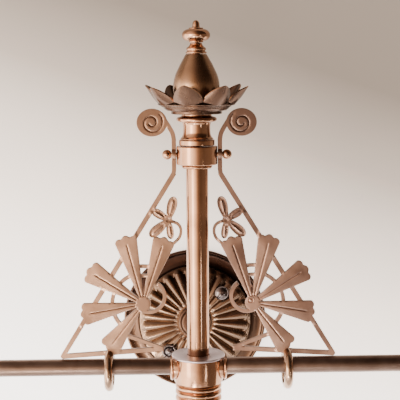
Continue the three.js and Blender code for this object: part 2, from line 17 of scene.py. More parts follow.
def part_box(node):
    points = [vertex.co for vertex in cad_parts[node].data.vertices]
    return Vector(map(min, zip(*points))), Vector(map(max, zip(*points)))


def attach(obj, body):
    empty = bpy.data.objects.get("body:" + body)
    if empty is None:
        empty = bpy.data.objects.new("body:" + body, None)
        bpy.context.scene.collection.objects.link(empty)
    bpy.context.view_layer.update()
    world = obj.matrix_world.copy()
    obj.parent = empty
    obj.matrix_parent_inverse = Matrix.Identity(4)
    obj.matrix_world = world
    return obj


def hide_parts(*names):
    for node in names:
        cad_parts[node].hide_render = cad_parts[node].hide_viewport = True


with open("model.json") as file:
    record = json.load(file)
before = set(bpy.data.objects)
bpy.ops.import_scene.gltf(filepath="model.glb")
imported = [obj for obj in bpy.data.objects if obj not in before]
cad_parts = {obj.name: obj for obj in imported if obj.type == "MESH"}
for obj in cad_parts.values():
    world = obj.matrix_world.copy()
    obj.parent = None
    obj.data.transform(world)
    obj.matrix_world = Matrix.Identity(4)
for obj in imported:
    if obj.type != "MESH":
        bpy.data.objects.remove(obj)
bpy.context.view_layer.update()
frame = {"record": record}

MM = 0.001
SIDES = {"right": 1, "left": -1}
OUTWARD = {"right": "x", "left": "-x"}
BODIES = {node: body for body, nodes in frame["record"]["behaviour"]["bodies"].items() for node in nodes}


# ---- places from the frame ----
def box_mm(node):
    low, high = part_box(node)
    return low / MM, high / MM


def middle(node):
    low, high = box_mm(node)
    return (low + high) / 2


def half_width(node):
    low, high = box_mm(node)
    return (high.x - low.x) / 2


def reach(node):
    """Where a node starts and ends along X, counted outwards from the column."""
    low, high = box_mm(node)
    return sorted((abs(low.x), abs(high.x)))


COLUMN = middle("column_tube")
COLUMN.z = 0
AXIS_Y = COLUMN.y
ARM_Z = middle("arm_right").z
ARM_LINE = Vector((0, AXIS_Y, ARM_Z))
PLATE = middle("wall_rosette")
PLATE.y = 0
STUB_BORE = 7.5
ROD_BORE = 2.7


# ---- mesh helpers ----
AXES = {
    "z": (Vector((1, 0, 0)), Vector((0, 1, 0)), Vector((0, 0, 1))),
    "x": (Vector((0, 1, 0)), Vector((0, 0, 1)), Vector((1, 0, 0))),
    "-x": (Vector((0, 1, 0)), Vector((0, 0, 1)), Vector((-1, 0, 0))),
    "-y": (Vector((1, 0, 0)), Vector((0, 0, 1)), Vector((0, -1, 0))),
}


def arc(r, z, a, b, start, end, steps):
    """Points (radius, height) on an elliptical arc, angles in degrees."""
    out = []
    for i in range(steps + 1):
        t = math.radians(start + (end - start) * i / steps)
        out.append((r + a * math.cos(t), z + b * math.sin(t)))
    return out


def rounded(profile, radius, closed, steps=3):
    """The profile with its corners rounded off."""
    points = [Vector(p) for p in profile]
    out = []
    for i, p in enumerate(points):
        if not closed and i in (0, len(points) - 1):
            out.append(tuple(p))
            continue
        before = points[i - 1] - p
        after = points[(i + 1) % len(points)] - p
        turn = math.pi - before.angle(after, 0)
        if turn < math.radians(14):
            out.append(tuple(p))
            continue
        cut = min(radius, before.length * 0.45, after.length * 0.45)
        start, end = p + before.normalized() * cut, p + after.normalized() * cut
        for k in range(steps + 1):
            t = k / steps
            out.append(tuple(start * (1 - t) ** 2 + p * 2 * t * (1 - t) + end * t * t))
    return out


def mesh_object(bm, name):
    """Object in the scene from a bmesh in metres."""
    mesh = bpy.data.meshes.new(name)
    bm.to_mesh(mesh)
    bm.free()
    thing = bpy.data.objects.new(name, mesh)
    bpy.context.scene.collection.objects.link(thing)
    return thing


def object_from(bm, name, sharp=32):
    """Finished object from a bmesh in millimetres: outward normals, smooth with sharp edges kept."""
    bmesh.ops.remove_doubles(bm, verts=bm.verts, dist=1e-4)
    bmesh.ops.recalc_face_normals(bm, faces=bm.faces)
    bmesh.ops.scale(bm, vec=(MM, MM, MM), verts=bm.verts)
    piece = mesh_object(bm, name)
    piece.data.polygons.foreach_set("use_smooth", [True] * len(piece.data.polygons))
    piece.data.set_sharp_from_angle(angle=math.radians(sharp))
    return piece


def revolve(bm, profile, origin, axis="z", segments=96, closed=False, wobble=None):
    """Adds the surface of a profile of (radius, height) turned about an axis through the origin.
    wobble(radius, height, angle) may return the height of a carved or fluted point."""
    side, front, up = AXES[axis]
    rings = []
    for r, h in profile:
        if r < 1e-6:
            rings.append([bm.verts.new(origin + up * h)])
            continue
        ring = []
        for i in range(segments):
            t = 2 * math.pi * i / segments
            height = wobble(r, h, t) if wobble else h
            ring.append(bm.verts.new(origin + (side * math.cos(t) + front * math.sin(t)) * r + up * height))
        rings.append(ring)
    pairs = list(zip(rings, rings[1:])) + ([(rings[-1], rings[0])] if closed else [])
    for low, high in pairs:
        for i in range(segments):
            j = (i + 1) % segments
            corners = [low[i % len(low)], low[j % len(low)], high[j % len(high)], high[i % len(high)]]
            unique = list(dict.fromkeys(corners))
            if len(unique) > 2:
                bm.faces.new(unique)


def turned(name, profile, origin, axis="z", bore=0.0, edge=0.3, segments=96, sharp=32):
    """Turned piece; with a bore the profile closes along it, otherwise it ends on the axis."""
    (_, first), (_, last) = profile[0], profile[-1]
    loop = [(bore, first), *profile, (bore, last)]
    bm = bmesh.new()
    revolve(bm, rounded(loop, edge, bore > 0), origin, axis, segments, closed=bore > 0)
    return object_from(bm, name, sharp)


def trim_above(bm, height):
    """Cut a closed mesh off flat at a height."""
    cut = bmesh.ops.bisect_plane(bm, geom=bm.verts[:] + bm.edges[:] + bm.faces[:], plane_co=(0, 0, height),
                                 plane_no=(0, 0, 1), clear_outer=True)
    bmesh.ops.holes_fill(bm, edges=[e for e in cut["geom_cut"] if isinstance(e, bmesh.types.BMEdge)])


def place(piece, node, slot, *materials):
    """Rides the piece on its node's body, in its materials, and lets it stand for the node; its slot is not
    used.
    """
    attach(piece, BODIES[node])
    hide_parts(node)
    for material in materials:
        piece.data.materials.append(material)


# ---- materials ----
def ramp(nodes, stops):
    """Colour ramp through (position, colour) stops."""
    node = nodes.new("ShaderNodeValToRGB")
    elements = node.color_ramp.elements
    elements[0].position, elements[0].color = stops[0][0], (*stops[0][1], 1)
    elements[1].position, elements[1].color = stops[-1][0], (*stops[-1][1], 1)
    for position, colour in stops[1:-1]:
        element = elements.new(position)
        element.color = (*colour, 1)
    return node


def noise(nodes, links, coordinates, scale, detail, stretch=None):
    """Cloudy noise over the coordinates, drawn out along an axis by stretch."""
    node = nodes.new("ShaderNodeTexNoise")
    node.inputs["Scale"].default_value = scale
    node.inputs["Detail"].default_value = detail
    source = coordinates
    if stretch:
        mapping = nodes.new("ShaderNodeMapping")
        mapping.inputs["Scale"].default_value = stretch
        links.new(coordinates, mapping.inputs["Vector"])
        source = mapping.outputs["Vector"]
    links.new(source, node.inputs["Vector"])
    return node


def span(nodes, links, source, low, high, start=0.3, end=0.7):
    """Maps a value between start and end onto low to high."""
    node = nodes.new("ShaderNodeMapRange")
    node.inputs["From Min"].default_value = start
    node.inputs["From Max"].default_value = end
    node.inputs["To Min"].default_value = low
    node.inputs["To Max"].default_value = high
    links.new(source, node.inputs["Value"])
    return node.outputs["Result"]


def split(nodes, links, coordinates):
    """The separate X, Y and Z of the coordinates."""
    node = nodes.new("ShaderNodeSeparateXYZ")
    links.new(coordinates, node.inputs["Vector"])
    return node.outputs


def mixed(nodes, links, a, b=None, factor=None, blend="MIX"):
    """Colour mix of two outputs; its sockets can be set afterwards."""
    node = nodes.new("ShaderNodeMix")
    node.data_type = "RGBA"
    node.blend_type = blend
    for socket, source in (("A", a), ("B", b), ("Factor", factor)):
        if source:
            links.new(source, node.inputs[socket])
    return node


def bump(nodes, links, height, strength, distance):
    node = nodes.new("ShaderNodeBump")
    node.inputs["Strength"].default_value = strength
    node.inputs["Distance"].default_value = distance
    links.new(height.outputs["Fac"], node.inputs["Height"])
    return node


def brass(name, light, mid, tarnish_and_shade, roughness, grain_depth=0.05, spots=0.35, spot_scale=70, painted_shade_heights=None,
          grain=(1, 1, 1)):
    """Copper-toned brass: cloudy tone, darker tarnished patches, wiped roughness, fine grain bump.
    The pair of heights in metres adds painted shade: between them the metal darkens upwards to its
    tarnished colour."""
    material = bpy.data.materials.new(name)
    material.use_nodes = True
    nodes, links = material.node_tree.nodes, material.node_tree.links
    shader = nodes["Principled BSDF"]
    shader.inputs["Metallic"].default_value = 1.0
    coordinates = nodes.new("ShaderNodeTexCoord").outputs["Object"]

    cloud = noise(nodes, links, coordinates, 38, 5)
    tone = ramp(nodes, [(0.34, mid), (0.66, light)])
    links.new(cloud.outputs["Fac"], tone.inputs["Fac"])
    patch = noise(nodes, links, coordinates, spot_scale, 8)
    mask = ramp(nodes, [(0.46, (0, 0, 0)), (0.74, (spots, spots, spots))])
    links.new(patch.outputs["Fac"], mask.inputs["Fac"])
    factor = mask.outputs["Color"]
    # Painted shade: darker upwards between the two heights, mixed towards the tarnished colour.
    if painted_shade_heights:
        blend = nodes.new("ShaderNodeMath")
        blend.operation = "MAXIMUM"
        links.new(factor, blend.inputs[0])
        height = split(nodes, links, coordinates)["Z"]
        links.new(span(nodes, links, height, 0, 0.9, *painted_shade_heights), blend.inputs[1])
        factor = blend.outputs["Value"]
    mix = mixed(nodes, links, tone.outputs["Color"], None, factor)
    # The tarnished colour serves both the random patches and the painted shade.
    mix.inputs["B"].default_value = (*tarnish_and_shade, 1)
    links.new(mix.outputs["Result"], shader.inputs["Base Color"])

    wiped = noise(nodes, links, coordinates, 120, 6, (1, 1, 0.35))
    links.new(span(nodes, links, wiped.outputs["Fac"], *roughness), shader.inputs["Roughness"])

    fine = bump(nodes, links, noise(nodes, links, coordinates, 900, 3, grain), grain_depth, 0.0002)
    broad = bump(nodes, links, noise(nodes, links, coordinates, 45, 1), 0.10, 0.0006)
    links.new(fine.outputs["Normal"], broad.inputs["Normal"])
    links.new(broad.outputs["Normal"], shader.inputs["Normal"])
    return material


# The satin, right-panel satin, fluted and dark brasses end in a pair of heights: painted shade, darker
# upwards.
POLISHED = brass("polished_brass", (0.51, 0.29, 0.18), (0.39, 0.215, 0.13), (0.14, 0.072, 0.042),
                 (0.09, 0.19), 0.05, 0.3, grain=(1, 1, 8))
SATIN = brass("satin_brass", (0.50, 0.315, 0.22), (0.33, 0.20, 0.138), (0.15, 0.088, 0.06),
              (0.28, 0.38), 0.2, 0.4, 60, (0.12, 0.24))
# A darker copy of the satin brass for the right panel: painted shade.
SATIN_SHADED_RIGHT = brass("satin_brass_shaded_right", (0.45, 0.288, 0.22), (0.235, 0.148, 0.118), (0.12, 0.075, 0.06),
                    (0.28, 0.38), 0.2, 0.55, 45, (0.09, 0.205))
# Dark brass for the panels' edge faces: painted shade along the edges.
EDGE_SHADE = brass("edge_brass_painted_shade", (0.22, 0.14, 0.10), (0.15, 0.09, 0.065), (0.06, 0.035, 0.025),
             (0.35, 0.45), 0.1)
EGG = brass("egg_brass", (0.36, 0.22, 0.137), (0.25, 0.148, 0.09), (0.12, 0.066, 0.04),
            (0.22, 0.30), 0.15, 0.4, 30)
CLIP = brass("clip_brass", (0.42, 0.285, 0.20), (0.31, 0.205, 0.14), (0.13, 0.08, 0.052),
             (0.15, 0.24), 0.05, 0.4, 60)
CUP = brass("cup_brass", (0.13, 0.078, 0.055), (0.085, 0.049, 0.034), (0.04, 0.022, 0.015),
            (0.22, 0.31), 0.10, 0.5, 45)
TUBE = brass("arm_brass", (0.21, 0.147, 0.12), (0.155, 0.105, 0.084), (0.066, 0.04, 0.03),
             (0.30, 0.42), 0.10, 0.5, grain=(14, 1, 1))
FLUTED = brass("fluted_brass", (0.33, 0.222, 0.155), (0.235, 0.155, 0.107), (0.042, 0.025, 0.019),
               (0.19, 0.28), 0.05, 0.35, 26, (0.012, 0.040))
DARK = brass("dark_brass", (0.18, 0.11, 0.076), (0.135, 0.08, 0.055), (0.05, 0.027, 0.021),
             (0.24, 0.34), 0.06, 0.35, 40, (-0.030, 0.030))
# Grey brass in place of the pale wall's reflection: painted reflection.
WALL_REFLECTION_GREY = brass("brass_painted_wall_reflection", (0.50, 0.44, 0.47), (0.40, 0.345, 0.37), (0.22, 0.15, 0.13),
             (0.30, 0.42), 0.12, 0.4)
IRON = brass("dark_iron", (0.22, 0.19, 0.19), (0.13, 0.11, 0.11), (0.04, 0.03, 0.03),
             (0.14, 0.26), 0.2, 0.5)


def polished(piece, node):
    place(piece, node, "polished_brass", POLISHED)


def skin(node, profile, origin, axis="z", slot="polished_brass", material=POLISHED, **shape):
    """Turned piece that is the whole surface of its node."""
    place(turned(f"{node}_skin", profile, origin, axis, **shape), node, slot, material)


# ---- wall plate ----
FLUTES = 28
FLUTE_IN, FLUTE_OUT = 15.8, 48.0
FLUTE_RISE = 3.1
CARVED_ABOVE = 8.5
DOME_STEPS = 60


def smoothstep(low, high, x):
    t = min(max((x - low) / (high - low), 0.0), 1.0)
    return t * t * (3 - 2 * t)


def flute_height(r, h, angle):
    """Convex flutes with rounded outer ends, standing on the rosette's dome."""
    if r <= FLUTE_IN or r >= FLUTE_OUT + 1.2:
        return h
    across = (angle * FLUTES / (2 * math.pi)) % 1 * 2 - 1
    body = math.cos(across * math.pi / 2) ** 0.8
    end = FLUTE_OUT + 1.0 - 3.0 * across * across
    taper = smoothstep(FLUTE_IN, FLUTE_IN + 5, r) * (1 - smoothstep(end - 3.6, end, r))
    return h + FLUTE_RISE * (0.3 + 0.7 * r / FLUTE_OUT) * (body - 0.4) * taper


def wall_rosette():
    """Dished plate: plain raised rim, then a fluted dome that rises to the hub."""
    radius = half_width("wall_rosette")
    hub_height, rim_height = 12.2, 8.8
    dome = []
    for i in range(DOME_STEPS + 1):
        r = FLUTE_OUT + 1.4 - (FLUTE_OUT - FLUTE_IN + 2.4) * i / DOME_STEPS
        rise = 1 - ((r - FLUTE_IN) / (FLUTE_OUT - FLUTE_IN)) ** 2
        dome.append((r, rim_height + (hub_height - rim_height) * rise))
    rim = [(radius - 0.8, 0), *arc(radius - 1.6, 2.6, 1.6, 2.4, -20, 130, 8), (60.4, 3.2), (58, 2.8),
           (54.5, 2.9), (51.4, 3.8), (50.2, 5.0), (49.7, 6.6), (49.5, 7.9)]
    inner = [(STUB_BORE, hub_height)]
    back = [(STUB_BORE, 11), (30, 9.6), (44, 8), (48.4, 5.4), (50.2, 2.2), (58, 1.4), (radius - 2, 1.4),
            (radius - 2, 0)]
    bm = bmesh.new()
    revolve(bm, rim + dome + inner + back, PLATE, "-y", FLUTES * 16, True,
            lambda r, h, t: flute_height(r, h, t) if h > CARVED_ABOVE else h)
    for face in bm.faces:
        offset = face.calc_center_median() - PLATE
        face.material_index = int(math.hypot(offset.x, offset.z) > FLUTE_OUT + 1.6)
    place(object_from(bm, "wall_rosette_skin", 80), "wall_rosette", "dark_brass", FLUTED, DARK)


def plain_plate_parts():
    """The disc behind the rosette, the ring in its middle and the pipe to the boss."""
    low, high = box_mm("back_disc")
    radius, depth = half_width("back_disc"), high.y - low.y
    skin("back_disc", [(radius, 0), (radius, depth)], PLATE, "-y", "dark_brass", DARK, edge=0.5)
    start, radius = -box_mm("rosette_hub")[1].y, half_width("rosette_hub")
    outline = [(radius - 0.2, start), *arc(radius - 1.5, start + 1.5, 1.5, 1.5, -50, 80, 8),
               (radius - 3, start + 2.6), *arc(radius - 4.2, start + 4.2, 1.5, 1.5, -60, 90, 8)]
    skin("rosette_hub", outline, PLATE, "-y", material=DARK, bore=STUB_BORE, edge=0.15)
    low, high = box_mm("stub_tube")
    radius = half_width("stub_tube")
    outline = [(radius, -high.y), (radius, -low.y)]
    # The stub pipe takes the grey brass: painted reflection of the pale wall.
    skin("stub_tube", outline, PLATE, "-y", material=WALL_REFLECTION_GREY, bore=radius - 1.4)


def wall_screws():
    """Slotted screw heads: the right one a plain dome, the left one with a ring round a button."""
    for side in SIDES:
        node = f"wall_screw_{side}"
        centre = Vector((middle(node).x, 0, middle(node).z))
        radius, top = half_width(node), -box_mm(node)[0].y
        seat = top - 5.4
        outline = [(2.2, 0.5), (2.2, seat), (radius - 0.3, seat)]
        if side == "right":
            outline += [*arc(0, seat + 0.9, radius, 4.5, 0, 88, 28), (0.001, top)]
        else:
            outline += [*arc(radius - 1.2, seat + 1.5, 1.2, 1.4, -40, 150, 12), (radius - 2.6, seat + 1.2),
                        *arc(0, seat + 1.8, radius - 2.7, 3.6, 0, 88, 18), (0.001, top)]

        def slotted(r, h, t, seat=seat):
            across = abs(r * math.sin(t - 0.9))
            return h - 1.2 * (1 - smoothstep(0.4, 0.7, across)) if h > seat + 2.6 else h
        bm = bmesh.new()
        revolve(bm, rounded(outline, 0.12, False), centre, "-y", 128, False, slotted)
        place(object_from(bm, f"{node}_skin", 40), node, "dark_iron", IRON)


# ---- boss and column ----
BOSS_R = 18.2
LUG_R = 9.8
SOCKET_R = 7.2
BURIED = 8


def tee():
    """Round boss with a lug for each arm, a socket for the stub pipe and a thin disc on top."""
    low, high = box_mm("tee_body")
    boss = turned("tee_boss", [(BOSS_R, low.z), (BOSS_R, high.z)], COLUMN, edge=0.8)
    polished(boss, "tee_body")
    for side, axis in OUTWARD.items():
        bm = bmesh.new()
        lug = rounded([(0.001, BURIED), (LUG_R, BURIED), (LUG_R, high.x), (0.001, high.x)], 0.5, False)
        revolve(bm, lug, ARM_LINE, axis)
        trim_above(bm, high.z)
        polished(object_from(bm, f"tee_lug_{side}"), "tee_body")
    rear = turned("tee_socket_rear", [(SOCKET_R, -high.y), (SOCKET_R, -AXIS_Y - BURIED)],
                  Vector((0, 0, ARM_Z)), "-y")
    polished(rear, "tee_body")

    low, high = box_mm("top_flange")
    radius = half_width("top_flange")
    outline = [(radius - 0.1, low.z), (radius, high.z - 0.2), (radius - 0.5, high.z)]
    # The flange takes the grey brass: painted reflection of the pale wall.
    skin("top_flange", outline, COLUMN, material=WALL_REFLECTION_GREY, bore=8.5, edge=0.35, segments=128)


def pendant():
    """Collar of three rings under the boss, and the turned drop that screws into it."""
    low, high = box_mm("pendant_collar")
    top, radius, valley = high.z, half_width("pendant_collar"), 15.5
    outline = [(8.8, low.z), (9.6, low.z + 0.4), (12.4, top - 16.2), (13.2, top - 15.2)]
    for drop in (12.6, 7.6, 3.0):
        outline += [(valley, top - drop - 2.4), *arc(radius - 1.9, top - drop, 1.9, 1.9, -70, 70, 10),
                    (valley, top - drop + 2.2)]
    outline[-1] = (16, top)
    skin("pendant_collar", outline, COLUMN, bore=ROD_BORE, edge=0.2)

    low, high = box_mm("pendant_drop")
    top = high.z - 10
    outline = [(0.001, low.z), *arc(0, low.z + 4.1, 4.2, 4.1, -84, 48, 16)]
    outline += [(r, top - drop) for r, drop in (
        (2.4, 29.8), (2.5, 29.2), (4.2, 28.6), (4.6, 27.8), (5.6, 26), (8, 22.2), (10.6, 17.6), (12.1, 14),
        (12.4, 11.8), (11.9, 9.2), (10.4, 7.2), (8, 5.6), (5.8, 4.6), (5.3, 3.6), (5.4, 2.2), (7.4, 1.7),
        (8.2, 1.1), (8.2, 0), (2.3, 0))]
    outline.append((2.3, high.z))
    skin("pendant_drop", outline, COLUMN)


def column_rings():
    """The tube with its rod, and the rings, neck, egg and knob stacked on it."""
    low, high = box_mm("column_tube")
    tube_r = half_width("column_tube")
    ring_bore = tube_r + 0.3
    skin("column_tube", [(tube_r, low.z), (tube_r, high.z)], COLUMN, bore=tube_r - 1.2)
    low, high = box_mm("tie_rod")
    rod_r = half_width("tie_rod")
    outline = [(rod_r, low.z), (rod_r, high.z)]
    skin("tie_rod", outline, COLUMN, slot="dark_iron", material=IRON, segments=32)

    def ring(node, outline, bore, edge=0.3, slot="polished_brass", material=POLISHED):
        bottom = box_mm(node)[0].z
        profile = [(r, bottom + h) for r, h in outline]
        skin(node, profile, COLUMN, "z", slot, material, bore=bore, edge=edge, segments=112)

    ring("lower_lip", [(10.7, 0), *arc(10.2, 1.2, 1.15, 1.2, -70, 70, 8), (10.7, 2.4)], ring_bore)
    ring("collar_band", [(14.6, 0), (15, 0.5), (15, 13.2), (14.6, 13.7)], ring_bore, 0.4)
    ring("neck_base", [(12.6, 0), (13.2, 0.5), (13.2, 3.8), (12.8, 4.3)], ROD_BORE, 0.4)
    ring("neck", [(12.3, 0), (12.2, 0.5), (11.8, 0.9), (11.1, 1.6), (10.6, 2.5), (10.25, 3.7), (10.05, 5.2),
                  (9.95, 8.4), (10.05, 10), (10.3, 11.2), (10.7, 12), (10.8, 12.3)], ROD_BORE, 0.2)
    ring("neck_ring", [(12.8, 0), *arc(12.9, 1.9, 2.05, 1.8, -80, 80, 12), (12.2, 4.0), (11.2, 4.4),
                       (11, 4.7), (11, 5.5)], ROD_BORE, 0.15)
    ring("egg_body", [(10.6, 0), (11.9, 1.8), (13.3, 4.4), (14.7, 7.4), (15.9, 10.8), (16.7, 14.2),
                      (17, 17.6),
                      (16.85, 20.8), (16.3, 23.8), (15.4, 26.8), (14.2, 29.6), (12.8, 32.4), (11.3, 35.4),
                      (9.8, 38), (8.6, 40.2), (7.6, 41.8)], ROD_BORE, 0.3, "satin_brass", EGG)
    ring("finial_collar", [(7.4, 0), *arc(6.9, 0.8, 0.8, 0.8, -60, 60, 6), (6.6, 1.7), (6.7, 2.1),
                           *arc(6.2, 3.3, 1.05, 1.3, -70, 60, 8), (6.1, 4.8), (5.3, 5.6), (4.75, 6.3),
                           (4.45, 7), (4.4, 7.6)], ROD_BORE, 0.12)

    outline = [(4.7, 0), (5.2, 0.2), (5.3, 0.8), (4.9, 1.1), *arc(5.3, 5.4, 5, 4.4, -78, 74, 22),
               (5.5, 9.8), *arc(4.7, 10.2, 0.7, 0.5, -50, 80, 6), (3.3, 10.8), (2.8, 11.2),
               (2.65, 12.4), (2.55, 13.6),
               (2.2, 14.7), (1.5, 15.6), (0.8, 16), (0.001, 16.1)]
    bottom = box_mm("finial_knob")[0].z
    outline = [(r, bottom + h) for r, h in outline]
    skin("finial_knob", outline, COLUMN, edge=0.15)


# ---- petal cup ----
PETALS = 8
PETAL_TURN = -14


def petal_point(s, t, lift, base_r, tip_r, base_z, tip_z, lean, droop):
    """Point of one petal along +X: s from base to tip, t across from -1 to 1, lift through it."""
    half = 10.3 * (1 - s ** 2.3) ** 0.72 + 0.8 * math.sin(math.pi * s) + 0.04
    half -= 1.35 * (1 - smoothstep(0.05, 0.16, s))
    across = t * half
    out = base_r + (tip_r - base_r) * (s + 0.10 * math.sin(math.pi * s) + lean * s * s)
    cupped = 3.4 * abs(t) ** 1.8 * math.sin(math.pi * min(s * 0.85 + 0.15, 1.0))
    curl = 1.2 * s ** 5
    wrap = out - across * across / (2 * base_r)
    z = base_z + (tip_z - base_z) * (s - droop * math.sin(math.pi * s))
    return Vector((wrap - cupped * 0.75 + curl - lift * 0.76, across, z + cupped * 0.35 + lift * 0.65))


def petal_cup():
    """Stepped dish with thin pointed petals round its rim."""
    low, high = box_mm("petal_cup")
    bottom = low.z
    fold, rim_r, foot_r, wall = bottom + 7.3, 28.5, 18.7, 0.8
    outer = [(foot_r - 0.4, 0), (foot_r, 0.4), (foot_r, 2.1), (21.6, 2.5), (22.4, 3.0), (24.1, 4.4),
             (24.2, 4.9),
             (25.7, 5.4), (25.8, 5.9), (27.3, 6.4), (28.2, 6.7), (rim_r, 7.3)]
    inner = [(rim_r - wall, 7.3), (25.4, 6.6), (22.2, 4.2), (20, 3.3), (17.6, 3), (17.4, 1), (ROD_BORE, 1)]
    outline = [(r, bottom + h) for r, h in [(ROD_BORE, 0), *outer, *inner]]
    bm = bmesh.new()
    revolve(bm, rounded(outline, 0.25, True), COLUMN, "z", 128, True)
    rows, columns = 26, 16
    for k in range(PETALS):
        turn = Matrix.Rotation(math.radians(PETAL_TURN - 90 + 360 * k / PETALS), 4, "Z")
        wave = math.sin(2.4 * k + 0.6)
        top = high.z - 1.2 + 0.8 * wave
        shape = (rim_r - 0.5, 37.6, fold - 0.7, top, 0.03 * wave, 0.04 + 0.02 * math.cos(1.7 * k))
        layers = []
        for lift in (0, wall):
            layer = [[petal_point(i / rows, 2 * j / columns - 1, lift, *shape) for j in range(columns + 1)]
                     for i in range(rows + 1)]
            layers.append([[bm.verts.new(COLUMN + turn @ point) for point in row] for row in layer])
        for layer in layers:
            for i in range(rows):
                for j in range(columns):
                    bm.faces.new((layer[i][j], layer[i][j + 1], layer[i + 1][j + 1], layer[i + 1][j]))
        one, two = layers
        # The petals' edge faces take the polished brass: painted highlight along the petal edges.
        border = [(i, 0) for i in range(rows)] + [(rows, j) for j in range(columns)]
        border += [(i, columns) for i in range(rows, 0, -1)] + [(0, j) for j in range(columns, 0, -1)]
        for (a, b), (c, d) in zip(border, border[1:] + border[:1]):
            bm.faces.new((one[a][b], one[c][d], two[c][d], two[a][b])).material_index = 1
    place(object_from(bm, "petal_cup_skin", 45), "petal_cup", "satin_brass", CUP, POLISHED)


# ---- pierced panels ----
STRAP_X = 16.9
CORNER = (102, 8.7)
INNER_TIP = (26.2, 13.7)
HUB = (40.9, 48.4)
HUB_R = 5.7
SPRIG = (21.4, 111.5)
VOLUTE = (32.8, 183.6)
PALMETTE = [(-18.6, 53, 8.3), (14.4, 53.2, 8.4), (57.6, 49.2, 8.6), (99.6, 47.6, 8.4), (142.2, 44.6, 8.4)]
CREASE_WIDTH, GROOVE_WIDTH = 0.27, 0.3
LEAVES = [((17.1, 128.8), 7.2), ((33.2, 118.9), 6), ((35.4, 99.5), 7.2), ((19.6, 97.4), 5.2)]


def ribbon(path, width):
    """Outline of a band of constant width along centre points."""
    sides = []
    for sign in (1, -1):
        side = []
        for i, (x, z) in enumerate(path):
            px, pz = path[max(i - 1, 0)]
            nx, nz = path[min(i + 1, len(path) - 1)]
            twice = 2 * math.hypot(nx - px, nz - pz)
            side.append((x - sign * width * (nz - pz) / twice, z + sign * width * (nx - px) / twice))
        sides.append(side)
    return sides[0] + sides[1][::-1]


def circle(centre, a, b=None, steps=48, start=0, end=360):
    """Points of an ellipse or an arc, angles in degrees clockwise from the top."""
    b = b or a
    angles = [math.radians(start + (end - start) * i / steps) for i in range(steps + (end - start < 360))]
    return [(centre[0] + a * math.sin(t), centre[1] + b * math.cos(t)) for t in angles]


def smooth_path(points, steps=8):
    """Catmull-Rom curve through the points."""
    p = [Vector(point) for point in points]
    p = [p[0] * 2 - p[1], *p, p[-1] * 2 - p[-2]]
    out = []
    for i in range(1, len(p) - 2):
        for k in range(steps):
            t = k / steps
            a, b, c, d = p[i - 1], p[i], p[i + 1], p[i + 2]
            out.append(tuple(0.5 * (2 * b + (c - a) * t + (2 * a - 5 * b + 4 * c - d) * t ** 2
                                    + (3 * b - a - 3 * c + d) * t ** 3)))
    return out + [tuple(points[-1])]


def on_petal(turn, u, v):
    """The panel's point that lies u along a petal from the hub and v across it."""
    sin, cos = math.sin(math.radians(turn)), math.cos(math.radians(turn))
    return HUB[0] + u * sin + v * cos, HUB[1] + u * cos - v * sin


def keystone(turn, length, half):
    """Palmette petal with a three-lobed tip."""
    lobe = half * 0.37
    edge = [(3, -1.3)]
    shoulder, tip = length - lobe - 1.6, length - lobe
    edge += arc(shoulder, -half + lobe, lobe, lobe, -80, 30, 10)
    edge += arc(tip, 0, lobe, lobe, -55, 55, 10)
    edge += arc(shoulder, half - lobe, lobe, lobe, -30, 80, 10)
    edge.append((3, 1.3))
    return [on_petal(turn, u, v) for u, v in edge]


def leaf_frame(tip):
    """Where a leaf starts in the sprig's middle, and the directions along it and across it."""
    base = Vector(SPRIG)
    along = (Vector(tip) - base).normalized()
    return base, along, Vector((-along.y, along.x))


def leaf(tip, width):
    """Leaf from the middle of the sprig, broadest past its middle, with a round end."""
    base, _, across = leaf_frame(tip)
    sides = []
    for sign in (1, -1):
        side = []
        for i in range(23):
            t = 1 - (1 - i / 22) ** 1.7
            half = sign * (0.4 * (1 - t) + 0.75 * width * t ** 0.6 * math.sqrt(max(1 - t ** 3.2, 0)))
            side.append(tuple(base + (Vector(tip) - base) * t + across * half))
        sides.append(side)
    return sides[0] + sides[1][::-1][1:]


def panel_outlines():
    """Every bar, petal and scroll of the panel, as outlines that overlap."""
    strap = [*smooth_path([(25.6, 188.3), (23, 184.6), (20.2, 180.2), (17.8, 175.6), (STRAP_X, 171)]),
             (STRAP_X, 149), (17.3, 146.2), (18.6, 143.6)]
    stem = smooth_path([(20.6, 111), (14.6, 108.6), (12.3, 104.2), (13.6, 98.2), (19.2, 92.6)])
    return [
        ribbon(strap, 3.3), circle(VOLUTE, 11.2, 10.2), ribbon([(16.9, 146.4), CORNER], 3.6),
        ribbon([CORNER, INNER_TIP], 3.6), circle((CORNER[0] - 0.4, CORNER[1] + 0.2), 1.9, steps=16),
        ribbon([INNER_TIP, (56, 25.2)], 2.8), circle(HUB, HUB_R), *[keystone(*one) for one in PALMETTE],
        ribbon(circle(HUB, 23.2, steps=40, start=14, end=142), 2.9),
        ribbon(circle(HUB, 21.5, steps=12, start=-18, end=15), 2.4),
        ribbon(circle(HUB, 28.6, steps=12, start=-18, end=15), 2.7),
        ribbon(circle((36.7, 53.8), 11.8, steps=48, start=142, end=326), 2.7),
        circle(SPRIG, 2.9, steps=20), *[leaf(*one) for one in LEAVES], ribbon(stem, 2.1),
    ]


def loop_area(loop):
    return sum(a.x * b.y - b.x * a.y for a, b in zip(loop, loop[1:] + loop[:1])) / 2


def open_edges(triangles):
    """Directed edges that belong to one triangle only."""
    edges = {}
    for tri in triangles:
        for a, b in zip(tri, tri[1:] + tri[:1]):
            if (b, a) in edges:
                del edges[(b, a)]
            else:
                edges[(a, b)] = True
    return edges


